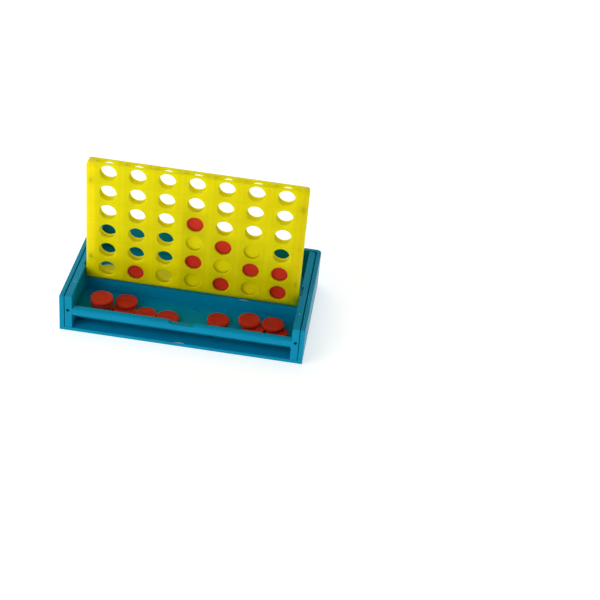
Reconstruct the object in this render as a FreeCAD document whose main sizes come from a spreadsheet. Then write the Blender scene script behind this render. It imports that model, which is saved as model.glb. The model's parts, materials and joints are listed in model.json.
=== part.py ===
import FreeCAD, Part
import math
import os
import re

import Sketcher
from FreeCAD import Placement, Rotation, Vector

# Pocket four in a row game: a low case, a tray that slides in it, a grid that stands in the
# tray on two pins, and 42 discs.
# Frame: X to the right, Y from the open front to the back, Z up. The origin is the middle of
# the case's underside. A setback is a distance behind the front face of the case.
SIZES = {
    # the case
    "case_width": 80.0,
    "case_depth": 47.2,
    "case_height": 13.6,
    "case_wall": 1.5,
    "case_floor": 1.2,
    "case_corner": 1.6,
    "rim_round": 0.3,
    # the tray
    "side_gap": 0.25,
    "tray_lift": 0.1,
    "tray_wall": 2.35,
    "tray_floor_top": 4.3,
    "tray_floor": 1.2,
    "tray_corner": 1.4,
    "rail_thick": 1.8,
    "rail_low": 5.9,
    "rail_top": 9.3,
    "rail_round": 1.2,
    "rail_back_round": 0.5,
    "web_top": 7.4,
    "web_foot": 5.0,
    "web_setback": 3.7,
    "divider_setback": 18.2,
    "divider_thick": 2.2,
    "divider_top": 8.6,
    "back_wall": 1.2,
    "ledge_top": 8.6,
    "ledge_depth": 0.3,
    "notch_width": 9.0,
    "notch_depth": 0.9,
    "locating_radius": 0.55,
    "locating_across": 37.2,
    "locating_rise": 8.0,
    "locating_depth": 2.0,
    # the pins and the slots they run in
    "pin_radius": 0.8,
    "pin_length": 3.9,
    "pin_bevel": 0.2,
    "pin_setback": 19.65,
    "pin_rise": 11.6,
    "pin_travel": 23.6,
    "pin_play": 0.05,
    "pin_end_gap": 0.1,
    "slot_play": 0.1,
    "slot_depth": 1.4,
    "bore_depth": 2.4,
    "entry_depth": 0.6,
    "entry_length": 5.0,
    # the grid
    "grid_width": 70.9,
    "grid_setback": 17.7,
    "grid_bottom": 9.9,
    "grid_top": 53.95,
    "grid_corner": 1.0,
    "panel": 0.8,
    "channel": 1.6,
    "column_pitch": 9.5,
    "row_pitch": 7.3,
    "first_row": 14.0,
    "front_hole": 2.75,
    "rear_hole": 2.85,
    "hole_round": 0.15,
    "column_play": 0.2,
    "peg_radius": 0.5,
    "peg_length": 0.4,
    "peg_play": 0.06,
    "peg_inset": 1.5,
    "peg_low": 18.0,
    "peg_high": 47.0,
    # the discs
    "disc_radius": 3.62,
    "disc_thick": 1.3,
    "disc_round": 0.25,
}
COLUMNS = 7
ROWS = 6
DISCS_OF_A_COLOUR = 21

# The game in progress, top row first: r is a red disc, y a yellow one.
BOARD = (
    ".......",
    ".......",
    "...r...",
    "...yry.",
    "...ryrr",
    ".r.yryr",
)

# Discs lying flat in the tray: place across, setback, and how many discs are underneath.
RED_IN_TRAY = (
    (-27.7, 7.8, 0),
    (-27.6, 7.6, 1),
    (-27.75, 7.7, 2),
    (-27.85, 7.8, 3),
    (-20.4, 8.2, 0),
    (-20.4, 11.3, 1),
    (-13.1, 7.5, 0),
    (-5.8, 7.4, 0),
    (10.5, 10.1, 0),
    (20.7, 10.75, 1),
    (22.4, 7.9, 0),
    (30.5, 7.6, 0),
    (28.65, 10.35, 1),
)
YELLOW_IN_TRAY = (
    (-30.6, 28.4, 0),
    (-23.2, 27.0, 0),
    (-15.9, 24.8, 0),
    (-11.9, 31.6, 0),
    (-24.2, 34.8, 0),
    (-4.2, 27.2, 0),
    (-3.6, 35.4, 0),
    (4.0, 31.0, 0),
    (11.6, 26.0, 0),
    (12.0, 34.6, 0),
    (19.8, 30.0, 0),
    (27.9, 26.4, 0),
    (28.6, 34.9, 0),
    (20.4, 38.0, 0),
    (-20.5, 29.6, 1),
    (22.0, 29.8, 1),
)

# Places that several parts share, written as formulas of the sizes.
FRONT = "-case_depth / 2"
CASE_BACK = "case_depth / 2"
TRAY_BACK = "(case_depth / 2 - case_wall - side_gap)"
TRAY_SIDE = "(case_width / 2 - case_wall - side_gap - tray_wall)"
GRID_MIDDLE = "(grid_setback + panel + channel / 2 - case_depth / 2)"
FIRST_COLUMN = "-3 * column_pitch"
CHANNEL_HALF = "(disc_radius + column_play)"
PIN_BACK = "(pin_setback - case_depth / 2)"
PIN_INNER_END = "(grid_width / 2 - bore_depth + pin_end_gap)"


def sized(formula):
    """Point each size named in a formula at its cell in the sheet."""
    def cell(word):
        return "Sizes." + word.group() if word.group() in SIZES else word.group()
    return re.sub(r"[a-z_]+", cell, formula)


def behind(setback):
    """The Y of a distance behind the front face."""
    return f"({setback} - case_depth / 2)"


def new_sheet(doc):
    sheet = doc.addObject("Spreadsheet::Sheet", "Sizes")
    for row, (name, value) in enumerate(SIZES.items(), 1):
        sheet.set(f"A{row}", name)
        sheet.set(f"B{row}", str(value))
        sheet.setAlias(f"B{row}", name)
    doc.recompute()
    return sheet


def new_body(doc, name):
    body = doc.addObject("PartDesign::Body", name)
    body.Label = name
    return body


def new_sketch(body, name, role, height="0"):
    """A sketch on one of the body's own origin planes, raised along the plane's normal."""
    sketch = body.newObject("Sketcher::SketchObject", name)
    plane = next(item for item in body.Origin.OriginFeatures if item.Role == role)
    sketch.AttachmentSupport = [(plane, "")]
    sketch.MapMode = "FlatFace"
    sketch.setExpression("AttachmentOffset.Base.z", sized(height))
    return sketch


def pin_down(sketch, item, point, across, along, rough):
    """Fix one point of a sketch by its two distances from the origin."""
    for kind, formula, value in (("DistanceX", across, rough.x), ("DistanceY", along, rough.y)):
        number = sketch.addConstraint(Sketcher.Constraint(kind, -1, 1, item, point, value))
        sketch.setExpression(f"Constraints[{number}]", sized(formula))


def draw_outline(sketch, corners):
    """A closed outline of straight lines, its corners given as pairs of formulas. The lines
    start on a rough circle, and the solver takes each corner to its place."""
    count = len(corners)
    turn = 2 * math.pi / count
    rough = [Vector(30 + 20 * math.cos(i * turn), 30 + 20 * math.sin(i * turn), 0)
             for i in range(count)]
    first = sketch.GeometryCount
    for i in range(count):
        sketch.addGeometry(Part.LineSegment(rough[i], rough[(i + 1) % count]))
    for i, (across, along) in enumerate(corners):
        after = first + (i + 1) % count
        sketch.addConstraint(Sketcher.Constraint("Coincident", first + i, 2, after, 1))
        pin_down(sketch, first + i, 1, across, along, rough[i])


def draw_rectangle(sketch, left, right, low, high):
    draw_outline(sketch, [(left, low), (right, low), (right, high), (left, high)])


def draw_circle(sketch, across, along, radius):
    rough = Vector(10 + 10 * sketch.GeometryCount, 10, 0)
    item = sketch.addGeometry(Part.Circle(rough, Vector(0, 0, 1), 1))
    pin_down(sketch, item, 3, across, along, rough)
    number = sketch.addConstraint(Sketcher.Constraint("Radius", item, 1))
    sketch.setExpression(f"Constraints[{number}]", sized(radius))


def extrude(body, kind, name, sketch, length, flipped=False, side="One side"):
    """A Pad goes along its sketch's normal and a Pocket against it, unless flipped."""
    feature = body.newObject("PartDesign::" + kind, name)
    feature.Profile = sketch
    feature.setExpression("Length", sized(length))
    feature.Reversed = flipped
    feature.SideType = side
    return feature


def repeat_in_line(body, name, original, axis, pitch, count):
    """Repeat one feature along its sketch's horizontal or vertical axis."""
    pattern = body.newObject("PartDesign::LinearPattern", name)
    pattern.Originals = [original]
    pattern.Direction = (original.Profile[0], [axis])
    pattern.setExpression("Length", sized(f"{count - 1} * {pitch}"))
    pattern.Occurrences = count
    body.Tip = pattern
    return pattern


def soften(body, name, radius, wanted):
    """Round the edges of the body for which wanted(edge) is true."""
    body.Document.recompute()
    base = body.Tip
    edges = [f"Edge{i}" for i, edge in enumerate(base.Shape.Edges, 1) if wanted(edge)]
    if not edges:
        raise ValueError(f"{body.Label}: {name} found no edge")
    feature = body.newObject("PartDesign::Fillet", name)
    feature.Base = (base, edges)
    feature.setExpression("Radius", sized(radius))


def runs_along(edge, axis):
    """True of a straight edge that lies along the X, Y or Z axis."""
    if not isinstance(edge.Curve, Part.Line):
        return False
    return abs(edge.Curve.Direction.dot(axis)) > 0.999


def near(value, target):
    return abs(value - target) < 0.01


def make_case(doc, sheet):
    """A floor, two sides and a back, open at the front and on top."""
    body = new_body(doc, "case_shell")
    block = new_sketch(body, "case_plan", "XY_Plane")
    draw_rectangle(block, "-case_width / 2", "case_width / 2", FRONT, CASE_BACK)
    extrude(body, "Pad", "case_block", block, "case_height")
    room = new_sketch(body, "room_plan", "XY_Plane", "case_floor")
    draw_rectangle(room, "case_wall - case_width / 2", "case_width / 2 - case_wall",
                   "-case_depth", "case_depth / 2 - case_wall")
    extrude(body, "Pocket", "case_room", room, "case_height", flipped=True)

    half_width, half_depth = sheet.case_width / 2, sheet.case_depth / 2

    def rear_corner(edge):
        middle = edge.CenterOfMass
        return (runs_along(edge, Vector(0, 0, 1)) and near(abs(middle.x), half_width)
                and near(middle.y, half_depth))

    soften(body, "rear_corners", "case_corner", rear_corner)
    soften(body, "rim", "rim_round", lambda edge: near(edge.BoundBox.ZMin, sheet.case_height))
    return body


def tray_section(sketch):
    """The tray from the side: rounded rail, sloping web, floor, divider and low back wall."""
    rail_back, web = behind("rail_thick"), behind("web_setback")
    divider = behind("divider_setback")
    divider_back = behind("(divider_setback + divider_thick)")
    back_wall = f"({TRAY_BACK} - back_wall)"
    underside = "(case_floor + tray_lift)"
    floor_low = "(tray_floor_top - tray_floor)"
    draw_outline(sketch, [
        (FRONT, "rail_low"),
        (rail_back, "rail_low"),
        (web, floor_low),
        (back_wall, floor_low),
        (back_wall, underside),
        (TRAY_BACK, underside),
        (TRAY_BACK, "divider_top"),
        (back_wall, "divider_top"),
        (back_wall, "tray_floor_top"),
        (divider_back, "tray_floor_top"),
        (divider_back, "divider_top"),
        (divider, "divider_top"),
        (divider, "tray_floor_top"),
        (web, "tray_floor_top"),
        (web, "web_foot"),
        (rail_back, "web_top"),
        (rail_back, "rail_top"),
        (FRONT, "rail_top"),
    ])


def make_tray(doc, sheet):
    """One moulding: rail, two compartments, and sides with the slots for the grid's pins."""
    body = new_body(doc, "tray")
    section = new_sketch(body, "tray_profile", "YZ_Plane")
    tray_section(section)
    extrude(body, "Pad", "tray_trough", section, f"2 * {TRAY_SIDE}", side="Symmetric")

    x_axis, y_axis, z_axis = Vector(1, 0, 0), Vector(0, 1, 0), Vector(0, 0, 1)
    front = -sheet.case_depth / 2
    soften(body, "rail_front", "rail_round",
           lambda edge: runs_along(edge, x_axis) and near(edge.CenterOfMass.y, front))
    soften(body, "rail_back_edge", "rail_back_round",
           lambda edge: runs_along(edge, x_axis) and near(edge.CenterOfMass.z, sheet.rail_top)
           and near(edge.CenterOfMass.y, front + sheet.rail_thick))
    divider_front = sheet.divider_setback - sheet.case_depth / 2
    soften(body, "divider_round", "rim_round",
           lambda edge: runs_along(edge, x_axis) and near(edge.CenterOfMass.z, sheet.divider_top)
           and near(edge.CenterOfMass.y, divider_front))

    side = new_sketch(body, "side_profile", "YZ_Plane", TRAY_SIDE)
    draw_rectangle(side, FRONT, TRAY_BACK, "case_floor + tray_lift", "case_height")
    wall = extrude(body, "Pad", "side_wall", side, "tray_wall")
    step = new_sketch(body, "ledge_profile", "YZ_Plane", TRAY_SIDE)
    draw_rectangle(step, behind("rail_thick"), behind("divider_setback"),
                   "tray_floor_top", "ledge_top")
    ledge = extrude(body, "Pad", "side_ledge", step, "ledge_depth", flipped=True)
    reach = "(pin_radius + slot_play)"
    run = new_sketch(body, "slot_profile", "YZ_Plane", TRAY_SIDE)
    draw_rectangle(run, f"{PIN_BACK} - {reach}", f"{PIN_BACK} + pin_travel + {reach}",
                   f"pin_rise - {reach}", f"pin_rise + {reach}")
    slot = extrude(body, "Pocket", "pin_slot", run, "slot_depth", flipped=True)
    lead = new_sketch(body, "entry_profile", "YZ_Plane", TRAY_SIDE)
    draw_rectangle(lead, f"{PIN_BACK} - {reach}", f"{PIN_BACK} - {reach} + entry_length",
                   "pin_rise", "case_height + 1")
    entry = extrude(body, "Pocket", "pin_entry", lead, "entry_depth", flipped=True)
    spot = new_sketch(body, "locating_plan", "XZ_Plane", "case_depth / 2")
    draw_circle(spot, "locating_across", "locating_rise", "locating_radius")
    hole = extrude(body, "Pocket", "locating_hole", spot, "locating_depth")

    mirror = body.newObject("PartDesign::Mirrored", "other_side")
    mirror.Originals = [wall, ledge, slot, entry, hole]
    plane = next(item for item in body.Origin.OriginFeatures if item.Role == "YZ_Plane")
    mirror.MirrorPlane = (plane, [""])
    body.Tip = mirror

    grip = new_sketch(body, "notch_plan", "XZ_Plane", "case_depth / 2 + 1")
    draw_outline(grip, [
        ("-notch_width / 2", "rail_top"),
        ("notch_depth - notch_width / 2", "rail_top - notch_depth"),
        ("notch_width / 2 - notch_depth", "rail_top - notch_depth"),
        ("notch_width / 2", "rail_top"),
        ("notch_width / 2", "rail_top + 1"),
        ("-notch_width / 2", "rail_top + 1"),
    ])
    extrude(body, "Pocket", "finger_notch", grip, "rail_thick + 2")

    outside = sheet.case_width / 2 - sheet.case_wall - sheet.side_gap
    back = sheet.case_depth / 2 - sheet.case_wall - sheet.side_gap

    def rear_corner(edge):
        middle = edge.CenterOfMass
        return runs_along(edge, z_axis) and near(abs(middle.x), outside) and near(middle.y, back)

    def rim(edge):
        return runs_along(edge, y_axis) and near(edge.CenterOfMass.z, sheet.case_height)

    soften(body, "tray_rear_corners", "tray_corner", rear_corner)
    soften(body, "tray_rim", "rim_round", rim)
    return body


def round_top_corners(body, sheet):
    half_width = sheet.grid_width / 2

    def top_corner(edge):
        middle = edge.CenterOfMass
        return (runs_along(edge, Vector(0, 1, 0)) and near(abs(middle.x), half_width)
                and near(middle.z, sheet.grid_top))

    soften(body, "top_corners", "grid_corner", top_corner)


def cut_view_holes(body, height, radius, depth):
    """One row of round holes, repeated up the grid."""
    row = new_sketch(body, "hole_row", "XZ_Plane", height)
    for column in range(COLUMNS):
        draw_circle(row, f"{column} * column_pitch + {FIRST_COLUMN}", "first_row", radius)
    holes = extrude(body, "Pocket", "first_holes", row, depth)
    repeat_in_line(body, "hole_rows", holes, "V_Axis", "row_pitch", ROWS)


def draw_pegs(sketch, radius):
    for side in ("-", ""):
        for rise in ("peg_low", "peg_high"):
            draw_circle(sketch, f"{side}(grid_width / 2 - peg_inset)", rise, radius)


def soften_holes(body, radius, y_face):
    """Round the mouths of the view holes on one face of a panel."""
    def mouth(edge):
        return (isinstance(edge.Curve, Part.Circle) and near(edge.Curve.Radius, radius)
                and near(edge.BoundBox.YMin, y_face) and near(edge.BoundBox.YMax, y_face))

    soften(body, "hole_mouths", "hole_round", mouth)


def make_front_panel(doc, sheet):
    """The plain front sheet of the grid, with sockets behind it for the rear panel's pegs."""
    body = new_body(doc, "grid_front_panel")
    face = new_sketch(body, "panel_plan", "XZ_Plane", "case_depth / 2 - grid_setback")
    draw_rectangle(face, "-grid_width / 2", "grid_width / 2", "grid_bottom", "grid_top")
    extrude(body, "Pad", "panel_sheet", face, "panel", flipped=True)
    round_top_corners(body, sheet)
    cut_view_holes(body, "case_depth / 2 - grid_setback", "front_hole", "panel")
    inner_face = "case_depth / 2 - grid_setback - panel"
    sockets = new_sketch(body, "socket_plan", "XZ_Plane", inner_face)
    draw_pegs(sockets, "peg_radius + peg_play")
    extrude(body, "Pocket", "peg_sockets", sockets, "peg_length + peg_play", flipped=True)
    soften_holes(body, sheet.front_hole, sheet.grid_setback - sheet.case_depth / 2)
    return body


def make_rear_panel(doc, sheet):
    """The back sheet with the ribs between the columns, open on top and closed below."""
    body = new_body(doc, "grid_rear_panel")
    inner_face = "case_depth / 2 - grid_setback - panel"
    face = new_sketch(body, "rib_plan", "XZ_Plane", inner_face)
    draw_rectangle(face, "-grid_width / 2", "grid_width / 2", "grid_bottom", "grid_top")
    extrude(body, "Pad", "rib_block", face, "channel + panel", flipped=True)
    round_top_corners(body, sheet)
    lane = new_sketch(body, "channel_plan", "XZ_Plane", inner_face)
    draw_rectangle(lane, f"{FIRST_COLUMN} - {CHANNEL_HALF}", f"{FIRST_COLUMN} + {CHANNEL_HALF}",
                   "first_row - row_pitch / 2", "grid_top + 1")
    channel = extrude(body, "Pocket", "first_channel", lane, "channel")
    repeat_in_line(body, "channels", channel, "H_Axis", "column_pitch", COLUMNS)
    cut_view_holes(body, inner_face, "rear_hole", "channel + panel")
    pegs = new_sketch(body, "peg_plan", "XZ_Plane", inner_face)
    draw_pegs(pegs, "peg_radius")
    extrude(body, "Pad", "pegs", pegs, "peg_length")
    for name, side, flipped in (("left", "-", True), ("right", "", False)):
        mark = new_sketch(body, name + "_bore_plan", "YZ_Plane", side + "grid_width / 2")
        draw_circle(mark, PIN_BACK, "pin_rise", "pin_radius + pin_play")
        extrude(body, "Pocket", name + "_pin_bore", mark, "bore_depth", flipped=flipped)
    body.Document.recompute()
    back = sheet.grid_setback + 2 * sheet.panel + sheet.channel - sheet.case_depth / 2
    soften_holes(body, sheet.rear_hole, back)
    return body


def make_pin(doc, name, left_end):
    """A short bevelled pin lying along X: half in the grid's bore, half in the tray's slot."""
    rod = doc.addObject("Part::Cylinder", name + "_rod")
    rod.setExpression("Radius", sized("pin_radius"))
    rod.setExpression("Height", sized("pin_length"))
    rod.Placement = Placement(Vector(0, 0, 0), Rotation(Vector(0, 1, 0), 90))
    rod.setExpression("Placement.Base.x", sized(left_end))
    rod.setExpression("Placement.Base.y", sized(PIN_BACK))
    rod.setExpression("Placement.Base.z", sized("pin_rise"))
    doc.recompute()
    bevel = doc.addObject("Part::Chamfer", name)
    bevel.Label = name
    bevel.Base = rod
    rims = [i for i, edge in enumerate(rod.Shape.Edges, 1) if isinstance(edge.Curve, Part.Circle)]
    bevel.Edges = [(i, SIZES["pin_bevel"], SIZES["pin_bevel"]) for i in rims]
    return bevel


def make_disc(doc, name, turn, across, back, rise):
    """One disc with rounded rims, placed by its underside's centre."""
    blank = doc.addObject("Part::Cylinder", name + "_blank")
    blank.setExpression("Radius", sized("disc_radius"))
    blank.setExpression("Height", sized("disc_thick"))
    blank.Placement = Placement(Vector(0, 0, 0), turn)
    blank.setExpression("Placement.Base.x", sized(across))
    blank.setExpression("Placement.Base.y", sized(back))
    blank.setExpression("Placement.Base.z", sized(rise))
    doc.recompute()
    disc = doc.addObject("Part::Fillet", name)
    disc.Label = name
    disc.Base = blank
    rims = [i for i, edge in enumerate(blank.Shape.Edges, 1) if isinstance(edge.Curve, Part.Circle)]
    disc.Edges = [(i, SIZES["disc_round"], SIZES["disc_round"]) for i in rims]
    return disc


def disc_places(letter, in_tray):
    """Every disc of one colour: first those in the grid, from the top row down, column by
    column, then those in the tray."""
    upright = Rotation(Vector(1, 0, 0), -90)
    flat = Rotation()
    for top_down, row in enumerate(BOARD):
        for column, mark in enumerate(row):
            if mark == letter:
                yield (upright, f"{column} * column_pitch + {FIRST_COLUMN}",
                       f"{GRID_MIDDLE} - disc_thick / 2",
                       f"first_row + {ROWS - 1 - top_down} * row_pitch")
    for across, setback, underneath in in_tray:
        yield (flat, str(across), behind(str(setback)),
               f"tray_floor_top + {underneath} * disc_thick")


def make_discs(doc):
    discs = []
    for colour, letter, in_tray in (("red", "r", RED_IN_TRAY), ("yellow", "y", YELLOW_IN_TRAY)):
        places = list(disc_places(letter, in_tray))
        if len(places) != DISCS_OF_A_COLOUR:
            raise ValueError(f"{len(places)} {colour} discs")
        for number, place in enumerate(places, 1):
            discs.append(make_disc(doc, f"{colour}_disc_{number:02d}", *place))
    return discs


def check(doc, parts):
    doc.recompute()
    for item in doc.Objects:
        if "Invalid" in item.State or "Error" in item.State:
            raise RuntimeError(f"{item.Label}: {item.State}")
    for part in parts:
        if part.Shape.isNull() or not part.Shape.isValid():
            raise RuntimeError(f"{part.Label} has no valid shape")
        if len(part.Shape.Solids) != 1:
            raise RuntimeError(f"{part.Label} has {len(part.Shape.Solids)} solids")


def main():
    doc = FreeCAD.newDocument("four_in_a_row")
    sheet = new_sheet(doc)
    parts = [
        make_case(doc, sheet),
        make_tray(doc, sheet),
        make_front_panel(doc, sheet),
        make_rear_panel(doc, sheet),
        make_pin(doc, "hinge_pin_left", f"-{PIN_INNER_END} - pin_length"),
        make_pin(doc, "hinge_pin_right", PIN_INNER_END),
    ]
    parts += make_discs(doc)
    check(doc, parts)
    os.makedirs("parts", exist_ok=True)
    for part in parts:
        part.Shape.exportStep(f"parts/{part.Label}.step")
        print(f"{part.Label}: {part.Shape.Volume:.1f} mm3")


main()
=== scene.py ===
import json
import math
import random

import bmesh
import bpy
from bpy.props import FloatProperty, FloatVectorProperty, IntProperty, PointerProperty
from mathutils import Matrix, Vector


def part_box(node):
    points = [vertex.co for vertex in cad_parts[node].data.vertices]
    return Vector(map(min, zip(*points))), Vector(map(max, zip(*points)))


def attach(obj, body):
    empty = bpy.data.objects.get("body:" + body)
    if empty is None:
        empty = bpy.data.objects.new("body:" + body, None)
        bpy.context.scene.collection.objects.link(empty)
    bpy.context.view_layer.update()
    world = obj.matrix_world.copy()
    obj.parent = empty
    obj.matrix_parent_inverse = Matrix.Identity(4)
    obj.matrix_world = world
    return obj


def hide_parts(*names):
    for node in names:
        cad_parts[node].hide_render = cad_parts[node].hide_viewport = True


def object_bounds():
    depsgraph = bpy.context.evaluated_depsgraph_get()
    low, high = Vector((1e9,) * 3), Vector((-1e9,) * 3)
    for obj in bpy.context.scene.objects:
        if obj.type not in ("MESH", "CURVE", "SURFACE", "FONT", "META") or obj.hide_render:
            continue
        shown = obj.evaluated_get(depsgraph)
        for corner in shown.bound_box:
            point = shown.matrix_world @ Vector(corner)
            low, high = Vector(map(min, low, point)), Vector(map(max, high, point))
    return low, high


bl_info = {
    "name": "Pocket Four in a Row",
    "version": (1, 0, 0),
    "blender": (4, 5, 0),
    "location": "3D View > Sidebar > Four in a Row",
    "description": "Finishes, discs, moulding marks and a studio for a pocket four in a row game",
    "category": "Object",
}

# Everything is in metres, in the model's own frame: X to the right, Y from the open front to
# the back, Z up from the case's underside.
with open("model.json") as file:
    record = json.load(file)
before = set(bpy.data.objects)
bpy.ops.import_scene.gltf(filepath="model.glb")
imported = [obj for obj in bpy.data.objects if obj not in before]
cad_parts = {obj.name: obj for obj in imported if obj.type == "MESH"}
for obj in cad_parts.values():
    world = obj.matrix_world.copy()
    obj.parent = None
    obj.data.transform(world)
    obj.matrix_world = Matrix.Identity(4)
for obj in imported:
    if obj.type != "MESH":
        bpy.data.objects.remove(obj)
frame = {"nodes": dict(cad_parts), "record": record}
cad_low, cad_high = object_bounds()

MM = 0.001
FLAT_EDGE = math.radians(32)
TURN = 2 * math.pi

# Sockets of a Mix node that mixes colours. Its other types repeat their names.
MIX_FACTOR, MIX_A, MIX_B, MIX_RESULT = 0, 6, 7, 2

# Heights above the case's underside, in millimetres.
LIP_TOP = 1.2
TRAY_FLOOR = 4.3
DIVIDER_TOP = 8.6
TRAY_RIM = 13.6

# The grid's cells, in millimetres. RIB_EDGE is from a cell's middle to the rib beside it.
COLUMN_PITCH = 9.5
RIB_EDGE = 3.82
FIRST_ROW = 14.0
ROW_PITCH = 7.3

# A disc's finest shapes, in millimetres.
BORDER_SLOPE = 0.12
MARK_DEPTH = 0.03

# How close counts as the same, in millimetres.
POLE_WELD = 0.0005
PANEL_WELD = 0.0002
ON_RIM = 0.01
LEVEL = 0.001

# Setbacks of the moulding marks behind the front, in millimetres.
LIP_MIDDLE = 0.25
DIVIDER_MIDDLE = 18.5
DOT_SETBACK = 8.4
EJECTOR_SETBACK = 14.6

# The floor's half width in metres, and how far it lies below the case in millimetres.
FLOOR_REACH = 4.0
FLOOR_GAP = 0.05


def linear(hex_colour):
    """An sRGB hex colour such as #0093B5 as linear red, green and blue."""
    channels = [int(hex_colour[i:i + 2], 16) / 255 for i in (1, 3, 5)]
    return tuple(c / 12.92 if c <= 0.04045 else ((c + 0.055) / 1.055) ** 2.4 for c in channels)


def colour_property(name, description, hex_colour):
    return FloatVectorProperty(name=name, description=description, subtype="COLOR", size=3,
                               min=0, max=1, default=linear(hex_colour))


def length_property(name, description, millimetres):
    return FloatProperty(name=name, description=description, unit="LENGTH", min=0,
                         default=millimetres * MM)


# ---------------------------------------------------------------- settings


class FOURROW_PG_finish(bpy.types.PropertyGroup):
    """Colours of the mouldings."""

    shell: colour_property("Case", "Colour of the case and the tray", "#0093B9")
    grid: colour_property("Grid", "Colour of the grid and its pins", "#F8E000")
    red: colour_property("Red discs", "Colour of one player's discs", "#C83622")
    yellow: colour_property("Yellow discs", "Colour of the other player's discs", "#E6DC00")
    floor: colour_property("Floor", "Colour of the studio floor", "#F8F8F6")


class FOURROW_PG_discs(bpy.types.PropertyGroup):
    """Sizes of a disc's finer shape. Its radius and thickness come from the model."""

    rim_round: length_property("Rim round", "Radius of the rounded rims", 0.22)
    border: length_property("Border", "Width of the raised border of each face", 0.5)
    dish: length_property("Dish", "How far each face lies below its border", 0.04)
    witness: length_property("Ejector mark", "Radius of the ejector pin's mark", 0.9)
    segments: IntProperty(name="Segments", description="Sides of the round outline",
                          default=72, min=12, max=256)


class FOURROW_PG_marks(bpy.types.PropertyGroup):
    """Sizes of the marks that the moulding tools leave."""

    # The gate scars and the rim dots are pale, as painted highlights.
    scar_width: length_property("Gate scar", "Length of a trimmed gate's scar", 3.2)
    scar_depth: length_property("Scar depth", "Breadth of a trimmed gate's scar", 0.4)
    scar_proud: length_property("Scar height", "How far a scar stands above the plastic", 0.06)
    nub: length_property("Nub", "Radius of the small moulded dots on the rim", 0.22)
    pin_mark: length_property("Ejector mark", "Radius of the tray's ejector pin marks", 1.6)


class FOURROW_PG_studio(bpy.types.PropertyGroup):
    """Where the camera stands, and how bright the lights are."""

    aim: FloatVectorProperty(name="Aim", description="Point on the floor in the picture's middle",
                             subtype="TRANSLATION", unit="LENGTH", size=3,
                             default=(0.0351, 0.0114, 0.0))
    distance: FloatProperty(name="Distance", description="From the aim to the camera",
                            unit="LENGTH", default=0.478)
    azimuth: FloatProperty(name="Azimuth", description="Camera's turn round to the right",
                           subtype="ANGLE", default=math.radians(3.374))
    elevation: FloatProperty(name="Elevation", description="Camera's angle above the floor",
                             subtype="ANGLE", default=math.radians(35.846))
    roll: FloatProperty(name="Roll", description="Turn of the camera about its own axis",
                        subtype="ANGLE", default=math.radians(6.24))
    lens: FloatProperty(name="Lens", description="Focal length in millimetres on a 36 mm sensor",
                        default=83.27, min=1)
    room: FloatProperty(name="Room", description="Brightness of the white room", default=0.36)
    key: FloatProperty(name="Key light", description="Soft box above, to the left in front",
                       subtype="POWER", default=0.62)
    back: FloatProperty(name="Back light", description="Soft box above, to the left behind",
                        subtype="POWER", default=1.6)
    glow: FloatProperty(name="Floor glow", description="Light that comes up through the floor",
                        default=0.58)


# ---------------------------------------------------------------- materials


def add_node(tree, kind, settings=None, inputs=None):
    """Add a node, give it its settings, and set or link its inputs."""
    node = tree.nodes.new(kind)
    for name, value in (settings or {}).items():
        setattr(node, name, value)
    for name, value in (inputs or {}).items():
        if isinstance(value, bpy.types.NodeSocket):
            tree.links.new(value, node.inputs[name])
        else:
            node.inputs[name].default_value = value
    return node


def per(millimetres):
    """The texture scale that makes a pattern's period this long."""
    return 1 / (millimetres * MM)


def shade(colour, factor):
    """The colour made darker or lighter by a factor, with its alpha."""
    return tuple(min(1.0, c * factor) for c in colour) + (1.0,)


def painted_shade_line_mask(tree, position, middle, pitch, edge, breadth):
    """1 on the lines that lie this far to both sides of each repeat's middle, fading to 0."""
    moved = add_node(tree, "ShaderNodeMath", {"operation": "SUBTRACT"}, {
        0: position, 1: middle * MM}).outputs["Value"]
    away = add_node(tree, "ShaderNodeMath", {"operation": "PINGPONG"}, {
        0: moved, 1: pitch / 2 * MM}).outputs["Value"]
    off = add_node(tree, "ShaderNodeMath", {"operation": "SUBTRACT"}, {
        0: away, 1: edge * MM}).outputs["Value"]
    gap = add_node(tree, "ShaderNodeMath", {"operation": "ABSOLUTE"}, {0: off}).outputs["Value"]
    return add_node(tree, "ShaderNodeMapRange", {"clamp": True}, {
        "Value": gap, "From Min": 0.0, "From Max": breadth * MM,
        "To Min": 1.0, "To Max": 0.0}).outputs["Result"]


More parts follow.
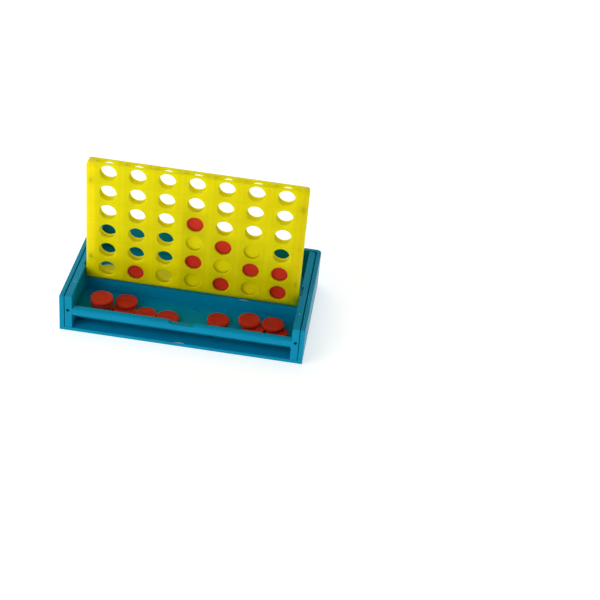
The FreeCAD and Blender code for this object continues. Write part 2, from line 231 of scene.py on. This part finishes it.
def moulding(name, colour, roughness, subsurface, reach, edge_radius=0.12, scratches=0.5,
             lines=()):
    """A clean injection moulding: polished tool steel gives it gloss with a faint orange peel,
    handling gives it hairline scratches and dull patches, and flow in the tool gives its colour
    slow clouds. The lines, when given, are painted shade: faint darker lines in its colour."""
    material = bpy.data.materials.new(name)
    material.use_nodes = True
    tree = material.node_tree
    tree.nodes.clear()
    place = add_node(tree, "ShaderNodeTexCoord").outputs["Object"]

    cloud = add_node(tree, "ShaderNodeTexNoise", None, {
        "Vector": place, "Scale": per(14), "Detail": 2.0, "Roughness": 0.5}).outputs["Fac"]
    speck = add_node(tree, "ShaderNodeTexNoise", None, {
        "Vector": place, "Scale": per(0.7), "Detail": 2.0, "Roughness": 0.6}).outputs["Fac"]
    cloudy = add_node(tree, "ShaderNodeMapRange", {"clamp": True}, {
        "Value": cloud, "From Min": 0.35, "From Max": 0.65}).outputs["Result"]
    tint = add_node(tree, "ShaderNodeMix", {"data_type": "RGBA"}, {
        MIX_FACTOR: cloudy, MIX_A: shade(colour, 0.95),
        MIX_B: shade(colour, 1.04)}).outputs[MIX_RESULT]
    speckled = add_node(tree, "ShaderNodeMapRange", {"clamp": True}, {
        "Value": speck, "From Min": 0.3, "From Max": 0.7}).outputs["Result"]
    tint = add_node(tree, "ShaderNodeMix", {"data_type": "RGBA", "blend_type": "MULTIPLY"}, {
        MIX_FACTOR: speckled, MIX_A: tint,
        MIX_B: (0.975, 0.975, 0.975, 1.0)}).outputs[MIX_RESULT]

    # Painted shade: along each line the colour is multiplied by a warm grey, standing in for the
    # light that ribs and discs behind hold back.
    for axis, *spacing in lines:
        position = add_node(tree, "ShaderNodeSeparateXYZ", None, {"Vector": place}).outputs[axis]
        tint = add_node(tree, "ShaderNodeMix", {"data_type": "RGBA", "blend_type": "MULTIPLY"}, {
            MIX_FACTOR: painted_shade_line_mask(tree, position, *spacing), MIX_A: tint,
            MIX_B: (0.965, 0.945, 0.92, 1.0)}).outputs[MIX_RESULT]

    streaks = []
    width = 0.16
    for angle, length in ((0.35, 9.0), (-0.9, 6.0)):
        lie = add_node(tree, "ShaderNodeMapping", None, {
            "Vector": place, "Rotation": (0.2, 0.3, angle),
            "Scale": (per(length), per(width), per(width))}).outputs["Vector"]
        streaks.append(add_node(tree, "ShaderNodeTexNoise", None, {
            "Vector": lie, "Scale": 1.0, "Detail": 1.0}).outputs["Fac"])
    both = add_node(tree, "ShaderNodeMath", {"operation": "MAXIMUM"}, {
        0: streaks[0], 1: streaks[1]}).outputs["Value"]
    scratch = add_node(tree, "ShaderNodeMapRange", {"clamp": True}, {
        "Value": both, "From Min": 0.74, "From Max": 0.80,
        "To Min": 0.0, "To Max": scratches}).outputs["Result"]

    patch = add_node(tree, "ShaderNodeTexNoise", None, {
        "Vector": place, "Scale": per(5), "Detail": 4.0, "Roughness": 0.6}).outputs["Fac"]
    dull = add_node(tree, "ShaderNodeMapRange", {"clamp": True}, {
        "Value": patch, "From Min": 0.3, "From Max": 0.7,
        "To Min": roughness * 0.85, "To Max": roughness * 1.25}).outputs["Result"]
    scratch_dullness = 0.35
    rough = add_node(tree, "ShaderNodeMath", {"operation": "MULTIPLY_ADD", "use_clamp": True}, {
        0: scratch, 1: scratch_dullness, 2: dull}).outputs["Value"]

    peel = add_node(tree, "ShaderNodeTexNoise", None, {
        "Vector": place, "Scale": per(1.4), "Detail": 1.0, "Roughness": 0.4}).outputs["Fac"]
    grain = add_node(tree, "ShaderNodeTexNoise", None, {
        "Vector": place, "Scale": per(0.2), "Detail": 2.0, "Roughness": 0.6}).outputs["Fac"]
    if edge_radius:
        normal = add_node(tree, "ShaderNodeBevel", {"samples": 4}, {
            "Radius": edge_radius * MM}).outputs["Normal"]
    else:
        normal = add_node(tree, "ShaderNodeNewGeometry").outputs["Normal"]
    for height, rise in ((peel, 0.02), (grain, 0.004), (scratch, -0.01)):
        normal = add_node(tree, "ShaderNodeBump", None, {
            "Height": height, "Normal": normal, "Strength": 1.0,
            "Distance": rise * MM}).outputs["Normal"]

    surface = add_node(tree, "ShaderNodeBsdfPrincipled", {"subsurface_method": "RANDOM_WALK"}, {
        "Base Color": tint, "Roughness": rough, "Normal": normal, "IOR": 1.59,
        "Specular IOR Level": 0.05,
        "Subsurface Weight": subsurface, "Subsurface Radius": reach, "Subsurface Scale": MM})
    add_node(tree, "ShaderNodeOutputMaterial", None, {"Surface": surface.outputs["BSDF"]})
    return material


def turquoise_polystyrene(finish):
    """High impact polystyrene, injection moulded in a polished tool: dense, even turquoise with
    a soft gloss, barely translucent at thin edges."""
    return moulding("polystyrene_high_impact_turquoise_moulded", tuple(finish.shell), 0.33,
                    subsurface=0.15, reach=(0.1, 0.3, 0.4))


def yellow_polystyrene(finish):
    """General purpose polystyrene with a little pigment, injection moulded in thin sheets: light
    passes through, so it glows where it is lit from behind and dims where something backs it.
    Faint darker lines at the edges of the ribs and at the joins between rows of discs are painted
    shade, in empty cells too."""
    # The lines are painted shade: across X at the rib edges, up Z at the joins between rows.
    return moulding("polystyrene_translucent_yellow_moulded", tuple(finish.grid), 0.35,
                    subsurface=1.0, reach=(4.0, 3.6, 1.2), edge_radius=0,
                    lines=(("X", 0.0, COLUMN_PITCH, RIB_EDGE, 0.3),
                           ("Z", FIRST_ROW, ROW_PITCH, ROW_PITCH / 2, 0.35)))


def disc_plastic(name, colour, reach):
    """High impact polystyrene, moulded many at a time and tumbled loose in a bag: satin faces."""
    return moulding(name, colour, 0.42, subsurface=1.0, reach=reach, edge_radius=0.05,
                    scratches=0.8)


def painted_highlight_polystyrene(finish):
    """The turquoise polystyrene made paler and matt as a painted highlight, for the small bright
    spots on the gate scars and the rim dots."""
    highlight_whiteness = 0.45
    pale = tuple(highlight_whiteness + (1 - highlight_whiteness) * channel for channel in finish.shell)
    return moulding("polystyrene_turquoise_painted_highlight", pale, 0.6, subsurface=0.3,
                    reach=(0.3, 0.4, 0.4), edge_radius=0.03)


def wear(obj, material):
    """Give an object this material in its every slot."""
    if not obj.data.materials:
        obj.data.materials.append(material)
    for slot in obj.material_slots:
        slot.material = material


def body_node_finish(body, material):
    """Give every node of a body this material."""
    for node in frame["record"]["behaviour"]["bodies"][body]:
        wear(frame["nodes"][node], material)


# ---------------------------------------------------------------- mesh helpers


def new_piece(name, mesh, material, body):
    """Turn a bmesh into a smooth shaded object that rides on a body."""
    data = bpy.data.meshes.new(name)
    mesh.to_mesh(data)
    mesh.free()
    data.shade_smooth()
    data.set_sharp_from_angle(angle=FLAT_EDGE)
    obj = bpy.data.objects.new(name, data)
    bpy.context.scene.collection.objects.link(obj)
    wear(obj, material)
    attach(obj, body)
    return obj


def spin_outline(mesh, outline, segments):
    """Spin a half section, given as (radius, height) pairs from pole to pole, round Z."""
    verts = [mesh.verts.new((radius, 0, height)) for radius, height in outline]
    edges = [mesh.edges.new(pair) for pair in zip(verts, verts[1:])]
    bmesh.ops.spin(mesh, geom=verts + edges, cent=(0, 0, 0), axis=(0, 0, 1), dvec=(0, 0, 0),
                   angle=TURN, steps=segments, use_merge=True, use_duplicate=False)
    bmesh.ops.remove_doubles(mesh, verts=mesh.verts, dist=POLE_WELD * MM)
    bmesh.ops.recalc_face_normals(mesh, faces=mesh.faces)


def round_rings(mesh, wanted, radius, segments):
    """Round the edges for which wanted(edge) is true."""
    rings = [edge for edge in mesh.edges if wanted(edge)]
    bmesh.ops.bevel(mesh, geom=rings, offset=radius, offset_type="OFFSET", segments=segments,
                    profile=0.5, affect="EDGES", material=-1, clamp_overlap=True)


def disc_shape(discs, radius, thick):
    """A disc lying on its middle plane: two dished faces, each with a raised border and an
    ejector pin's mark."""
    half = thick / 2
    inner = radius - discs.border
    slope = BORDER_SLOPE * MM
    face = half - discs.dish
    mark = discs.witness
    step = MARK_DEPTH * MM
    outline = [(0, face - step), (mark, face - step), (mark + step, face), (inner - slope, face),
               (inner, half), (radius, half), (radius, -half), (inner, -half),
               (inner - slope, -face), (mark + step, -face), (mark, -face + step),
               (0, -face + step)]
    mesh = bmesh.new()
    spin_outline(mesh, outline, discs.segments)

    def rim(edge):
        on_rim = all(abs(v.co.xy.length - radius) < ON_RIM * MM for v in edge.verts)
        level = abs(edge.verts[0].co.z - edge.verts[1].co.z) < LEVEL * MM
        return on_rim and level

    round_rings(mesh, rim, discs.rim_round, segments=4)
    return mesh


def fused_panels(names):
    """The mesh of several touching nodes as one closed solid, so that light passes between
    them as it does through plastic that is pressed together."""
    copies = []
    for name in names:
        mesh = bmesh.new()
        mesh.from_mesh(frame["nodes"][name].data)
        bmesh.ops.remove_doubles(mesh, verts=mesh.verts, dist=PANEL_WELD * MM)
        data = bpy.data.meshes.new(name + "_copy")
        mesh.to_mesh(data)
        mesh.free()
        copy = bpy.data.objects.new(name + "_copy", data)
        bpy.context.scene.collection.objects.link(copy)
        copies.append(copy)
    base = copies[0]
    for other in copies[1:]:
        join = base.modifiers.new("join", "BOOLEAN")
        join.operation = "UNION"
        join.solver = "EXACT"
        join.object = other
    ready = base.evaluated_get(bpy.context.evaluated_depsgraph_get())
    mesh = bmesh.new()
    mesh.from_mesh(ready.to_mesh())
    for copy in copies:
        data = copy.data
        bpy.data.objects.remove(copy)
        bpy.data.meshes.remove(data)
    return mesh


def pad_shape(length, breadth, height):
    """A low oval pad with a rounded rim, lying on Z = 0."""
    mesh = bmesh.new()
    bmesh.ops.create_circle(mesh, cap_ends=True, segments=32, radius=0.5)
    bmesh.ops.scale(mesh, vec=(length, breadth, 1), verts=mesh.verts)
    raised = bmesh.ops.extrude_face_region(mesh, geom=mesh.faces[:])
    top = [item for item in raised["geom"] if isinstance(item, bmesh.types.BMVert)]
    bmesh.ops.translate(mesh, vec=(0, 0, height), verts=top)
    rim_round = height * 0.45
    round_rings(mesh, lambda edge: all(v.co.z > height / 2 for v in edge.verts), rim_round,
                segments=2)
    bmesh.ops.recalc_face_normals(mesh, faces=mesh.faces)
    return mesh


# ---------------------------------------------------------------- studio helpers


def soft_box(name, place, aim, size, power):
    """A round soft light that looks at the aim."""
    light = bpy.data.lights.new(name, "AREA")
    light.shape = "DISK"
    light.size = size
    light.energy = power
    lamp = bpy.data.objects.new(name, light)
    lamp.location = place
    lamp.rotation_euler = (Vector(aim) - Vector(place)).to_track_quat("-Z", "Y").to_euler()
    bpy.context.scene.collection.objects.link(lamp)


def towards(azimuth, elevation, distance):
    """A point this far from the origin. Azimuth 0 is in front and turns to the right."""
    return Vector((math.sin(azimuth) * math.cos(elevation), -math.cos(azimuth)
                   * math.cos(elevation), math.sin(elevation))) * distance


def painted_floor(finish, glow):
    """Matt white board, roller painted: an even pale ground with a very fine stipple."""
    material = bpy.data.materials.new("board_matt_white_painted")
    material.use_nodes = True
    tree = material.node_tree
    tree.nodes.clear()
    place = add_node(tree, "ShaderNodeTexCoord").outputs["Object"]
    stipple = add_node(tree, "ShaderNodeTexNoise", None, {
        "Vector": place, "Scale": per(1.0), "Detail": 2.0}).outputs["Fac"]
    colour = tuple(finish.floor)
    tint = add_node(tree, "ShaderNodeMix", {"data_type": "RGBA"}, {
        MIX_FACTOR: stipple, MIX_A: shade(colour, 0.99),
        MIX_B: shade(colour, 1.0)}).outputs[MIX_RESULT]
    normal = add_node(tree, "ShaderNodeBump", None, {
        "Height": stipple, "Strength": 0.3, "Distance": 0.02 * MM}).outputs["Normal"]
    surface = add_node(tree, "ShaderNodeBsdfPrincipled", None, {
        "Base Color": tint, "Roughness": 0.9, "Specular IOR Level": 0.2, "Normal": normal,
        "Emission Color": shade(colour, 1.0), "Emission Strength": glow})
    add_node(tree, "ShaderNodeOutputMaterial", None, {"Surface": surface.outputs["BSDF"]})
    return material


# ---------------------------------------------------------------- operators


class FOURROW_OT_case(bpy.types.Operator):
    """Finish the case and the tray in turquoise polystyrene"""

    bl_idname = "fourrow.case"
    bl_label = "Case and tray"

    def execute(self, context):
        plastic = turquoise_polystyrene(context.scene.four_in_a_row_finish)
        for body in ("case", "tray"):
            body_node_finish(body, plastic)
        return {"FINISHED"}


class FOURROW_OT_grid(bpy.types.Operator):
    """Make the grid's two panels as one translucent yellow solid, and finish its pins"""

    bl_idname = "fourrow.grid"
    bl_label = "Grid and pins"

    def execute(self, context):
        plastic = yellow_polystyrene(context.scene.four_in_a_row_finish)
        body_node_finish("pins", plastic)
        panels = ("grid_front_panel", "grid_rear_panel")
        mesh = fused_panels(panels)
        if not mesh.faces:
            raise RuntimeError("the grid's panels didn't join")
        grid = new_piece("grid_panels", mesh, plastic, "grid")
        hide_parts(*panels)
        return {"FINISHED"}


class FOURROW_OT_discs(bpy.types.Operator):
    """Make every disc, in the place of the plain one in the model"""

    bl_idname = "fourrow.discs"
    bl_label = "Discs"

    def execute(self, context):
        finish = context.scene.four_in_a_row_finish
        discs = context.scene.four_in_a_row_discs
        plastics = {
            "red": disc_plastic("polystyrene_red_disc_tumbled", tuple(finish.red),
                                (4.0, 0.8, 0.4)),
            "yellow": disc_plastic("polystyrene_yellow_disc_tumbled", tuple(finish.yellow),
                                   (2.5, 2.3, 0.9)),
        }
        chance = random.Random(4)
        bodies = frame["record"]["behaviour"]["bodies"]
        made = 0
        for body, nodes in bodies.items():
            for node in nodes:
                if "_disc_" not in node:
                    continue
                colour, number = node.split("_disc_")
                low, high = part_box(node)
                size = high - low
                upright = size.y < size.z
                thick = size.y if upright else size.z
                mesh = disc_shape(discs, size.x / 2, thick)
                turn = Matrix.Rotation(chance.uniform(0, TURN), 4, "Z")
                tip = Matrix.Rotation(math.radians(90 if upright else 0), 4, "X")
                place = Matrix.Translation((low + high) / 2)
                bmesh.ops.transform(mesh, matrix=place @ tip @ turn, verts=mesh.verts)
                piece = new_piece(f"{colour}_counter_{number}", mesh, plastics[colour], body)
                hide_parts(node)
                made += 1
        if made == 0:
            raise RuntimeError("the model has no discs")
        return {"FINISHED"}


class FOURROW_OT_marks(bpy.types.Operator):
    """Add the marks that the tools leave: cut gates, a dot on each rim and ejector pin marks; the
    gates and the dots are pale, as painted highlights
    """

    bl_idname = "fourrow.marks"
    bl_label = "Moulding marks"

    def execute(self, context):
        finish = context.scene.four_in_a_row_finish
        marks = context.scene.four_in_a_row_marks
        pale = painted_highlight_polystyrene(finish)
        plastic = bpy.data.materials["polystyrene_high_impact_turquoise_moulded"]
        front = cad_low.y
        scar = (marks.scar_width, marks.scar_depth, marks.scar_proud)
        dot = (2 * marks.nub, 2 * marks.nub, marks.scar_proud * 2)
        flat = (2 * marks.pin_mark, 2 * marks.pin_mark, marks.scar_proud * 0.8)
        # The gate scars and the rim dots are raised pads in the pale material, whose paleness is
        # a painted highlight.
        for name, size, material, body, across, setback, rise in (
                ("case_gate_scar_highlight", scar, pale, "case", -0.4, LIP_MIDDLE, LIP_TOP),
                ("divider_gate_scar_highlight", scar, pale, "tray", 17.5, DIVIDER_MIDDLE, DIVIDER_TOP),
                ("rim_dot_glint_left", dot, pale, "tray", -37.0, DOT_SETBACK, TRAY_RIM),
                ("rim_dot_glint_right", dot, pale, "tray", 37.0, DOT_SETBACK, TRAY_RIM),
                ("ejector_mark_left", flat, plastic, "tray", -33.0, EJECTOR_SETBACK, TRAY_FLOOR),
                ("ejector_mark_middle", flat, plastic, "tray", 1.5, EJECTOR_SETBACK, TRAY_FLOOR),
                ("ejector_mark_right", flat, plastic, "tray", 33.0, EJECTOR_SETBACK, TRAY_FLOOR),
        ):
            mesh = pad_shape(*size)
            bmesh.ops.translate(mesh, vec=(across * MM, front + setback * MM, rise * MM),
                                verts=mesh.verts)
            new_piece(name, mesh, material, body)
        return {"FINISHED"}


class FOURROW_OT_studio(bpy.types.Operator):
    """Make the pale floor, the soft lights and the camera"""

    bl_idname = "fourrow.studio"
    bl_label = "Studio"

    def execute(self, context):
        scene = context.scene
        finish = scene.four_in_a_row_finish
        studio = scene.four_in_a_row_studio
        mesh = bmesh.new()
        bmesh.ops.create_grid(mesh, x_segments=1, y_segments=1, size=FLOOR_REACH)
        bmesh.ops.translate(mesh, vec=(0, 0, -FLOOR_GAP * MM), verts=mesh.verts)
        data = bpy.data.meshes.new("floor")
        mesh.to_mesh(data)
        mesh.free()
        floor = bpy.data.objects.new("floor", data)
        scene.collection.objects.link(floor)
        wear(floor, painted_floor(finish, studio.glow))

        middle = (cad_low + cad_high) / 2
        key_from = towards(math.radians(-45), math.radians(22), distance=0.4)
        back_from = towards(math.radians(205), math.radians(45), distance=0.8)
        soft_box("key", middle + key_from, middle, size=0.35, power=studio.key)
        soft_box("back", middle + back_from, middle, size=0.7, power=studio.back)

        world = bpy.data.worlds.new("white_room")
        world.use_nodes = True
        ground = world.node_tree.nodes["Background"]
        ground.inputs["Color"].default_value = (1, 1, 1, 1)
        ground.inputs["Strength"].default_value = studio.room
        scene.world = world
        scene.view_settings.view_transform = "Standard"

        lens = bpy.data.cameras.new("camera")
        lens.lens = studio.lens
        lens.sensor_width = 36
        camera = bpy.data.objects.new("camera", lens)
        aim = Vector(studio.aim)
        back = towards(studio.azimuth, studio.elevation, 1)
        look = (-back).to_track_quat("-Z", "Y").to_matrix().to_4x4()
        camera.matrix_world = (Matrix.Translation(aim + back * studio.distance) @ look
                               @ Matrix.Rotation(studio.roll, 4, "Z"))
        scene.collection.objects.link(camera)
        scene.camera = camera
        return {"FINISHED"}


class FOURROW_PT_panel(bpy.types.Panel):
    """Every step and its settings, in the sidebar"""

    bl_idname = "FOURROW_PT_panel"
    bl_label = "Four in a Row"
    bl_space_type = "VIEW_3D"
    bl_region_type = "UI"
    bl_category = "Four in a Row"

    def draw(self, context):
        layout = self.layout
        for step in STEPS:
            layout.operator(step.bl_idname)
        for group in SETTINGS:
            settings = getattr(context.scene, group)
            for name in settings.__annotations__:
                layout.prop(settings, name)


STEPS = (FOURROW_OT_case, FOURROW_OT_marks, FOURROW_OT_grid, FOURROW_OT_discs,
         FOURROW_OT_studio)
SETTINGS = {
    "four_in_a_row_finish": FOURROW_PG_finish,
    "four_in_a_row_discs": FOURROW_PG_discs,
    "four_in_a_row_marks": FOURROW_PG_marks,
    "four_in_a_row_studio": FOURROW_PG_studio,
}
CLASSES = (*SETTINGS.values(), *STEPS, FOURROW_PT_panel)


def register():
    for item in CLASSES:
        bpy.utils.register_class(item)
    for name, group in SETTINGS.items():
        setattr(bpy.types.Scene, name, PointerProperty(type=group))


def unregister():
    for name in SETTINGS:
        delattr(bpy.types.Scene, name)
    for item in reversed(CLASSES):
        bpy.utils.unregister_class(item)


def main():
    register()
    bpy.ops.fourrow.case()
    bpy.ops.fourrow.marks()
    bpy.ops.fourrow.grid()
    bpy.ops.fourrow.discs()
    bpy.ops.fourrow.studio()


if __name__ == "__main__":
    main()
